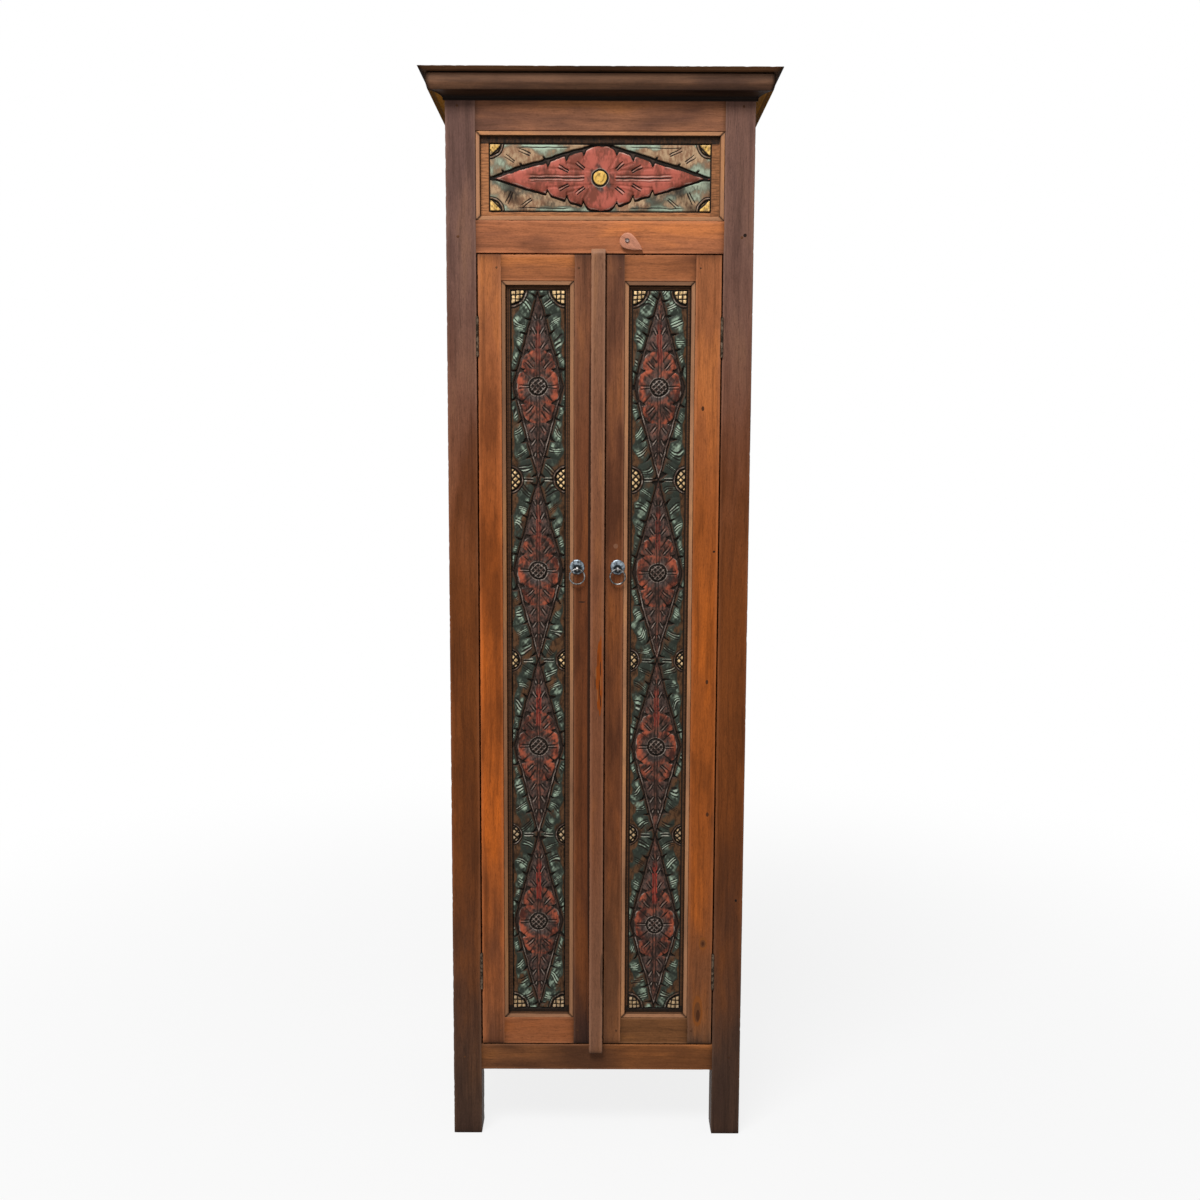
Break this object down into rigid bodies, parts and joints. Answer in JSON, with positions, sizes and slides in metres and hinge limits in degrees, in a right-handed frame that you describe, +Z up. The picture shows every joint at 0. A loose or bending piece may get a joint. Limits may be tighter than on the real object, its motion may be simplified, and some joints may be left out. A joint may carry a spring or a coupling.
{
  "type": "tall cabinet",
  "caption": "Tall narrow wooden cabinet on post feet, with carved and painted panelled doors, ring pulls, a turn button, a carved frieze, a cove cornice and shelves inside.",
  "frame": {"origin": "centre of the whole footprint, on the floor under the feet", "axes": "+Z up, the front faces -Y, +X to the viewer's right"},
  "size_m": [0.59, 0.4, 1.83],
  "materials": {
    "post_teak": "old dark brown teak, thin worn satin varnish",
    "rail_teak": "old reddish brown teak, satin varnish",
    "door_teak": "orange brown teak, satin varnish",
    "moulding_teak": "brown teak with paler rubbed edges",
    "strip_teak": "mid brown teak, worn",
    "carved_teak": "carved teak with worn red, blue-green and gold paint",
    "panel_teak": "plain brown teak boards",
    "cornice_teak": "dark brown teak, satin varnish",
    "button_wood": "bare pinkish wood",
    "peg_wood": "dark hardwood pegs",
    "hinge_steel": "tarnished dark steel",
    "screw_steel": "tarnished steel",
    "black_iron": "blackened iron, worn bright on the rounds"
  },
  "bodies": {
    "carcass": {"back_panel": "panel_teak", "bottom_board": "panel_teak", "cap_board": "cornice_teak", "cornice_front": "cornice_teak", "cornice_left": "cornice_teak", "cornice_right": "cornice_teak", "frame_hinge_screws": "screw_steel", "frame_pegs": "peg_wood", "frieze_moulding": "moulding_teak", "frieze_panel": "carved_teak", "front_bottom_rail": "rail_teak", "front_left_post": "post_teak", "front_mid_rail": "rail_teak", "front_right_post": "post_teak", "front_top_rail": "rail_teak", "left_hinge_frame_leaves": "hinge_steel", "left_hinge_pins": "hinge_steel", "left_side_bottom_rail": "panel_teak", "left_side_panel": "panel_teak", "left_side_top_rail": "panel_teak", "rear_bottom_rail": "panel_teak", "rear_left_post": "post_teak", "rear_right_post": "post_teak", "rear_top_rail": "panel_teak", "right_hinge_frame_leaves": "hinge_steel", "right_hinge_pins": "hinge_steel", "right_side_bottom_rail": "panel_teak", "right_side_panel": "panel_teak", "right_side_top_rail": "panel_teak", "shelf_1": "panel_teak", "shelf_2": "panel_teak", "shelf_3": "panel_teak", "shelf_cleats": "panel_teak", "turn_button_screw": "screw_steel"},
    "left_door": {"cover_strip": "strip_teak", "left_door_bottom_rail": "door_teak", "left_door_hinge_screws": "screw_steel", "left_door_hinge_stile": "door_teak", "left_door_meeting_stile": "door_teak", "left_door_moulding": "moulding_teak", "left_door_panel": "carved_teak", "left_door_pegs": "peg_wood", "left_door_top_rail": "door_teak", "left_hinge_door_leaves": "hinge_steel", "left_pull_eye": "black_iron", "left_pull_plate": "black_iron"},
    "right_door": {"right_door_bottom_rail": "door_teak", "right_door_hinge_screws": "screw_steel", "right_door_hinge_stile": "door_teak", "right_door_meeting_stile": "door_teak", "right_door_moulding": "moulding_teak", "right_door_panel": "carved_teak", "right_door_pegs": "peg_wood", "right_door_top_rail": "door_teak", "right_hinge_door_leaves": "hinge_steel", "right_pull_eye": "black_iron", "right_pull_plate": "black_iron"},
    "left_ring": {"left_pull_ring": "black_iron"},
    "right_ring": {"right_pull_ring": "black_iron"},
    "turn_button": {"turn_button_leaf": "button_wood"}
  },
  "joints": [
    {"name": "left_door_swing", "type": "hinge", "parent": "carcass", "child": "left_door", "pos_m": [-0.204, -0.1608, 0.8545], "axis": [0, 0, -1], "range_deg": [0, 165]},
    {"name": "right_door_swing", "type": "hinge", "parent": "carcass", "child": "right_door", "pos_m": [0.204, -0.1608, 0.8545], "axis": [0, 0, 1], "range_deg": [0, 165]},
    {"name": "left_ring_swing", "type": "hinge", "parent": "left_door", "child": "left_ring", "pos_m": [-0.0366, -0.167, 1.017], "axis": [-1, 0, 0], "range_deg": [0, 150]},
    {"name": "right_ring_swing", "type": "hinge", "parent": "right_door", "child": "right_ring", "pos_m": [0.0323, -0.167, 1.017], "axis": [-1, 0, 0], "range_deg": [0, 150]},
    {"name": "turn_button_turn", "type": "hinge", "parent": "carcass", "child": "turn_button", "pos_m": [0.045, -0.1637, 1.562], "axis": [0, -1, 0], "range_deg": [-60, 120]}
  ]
}
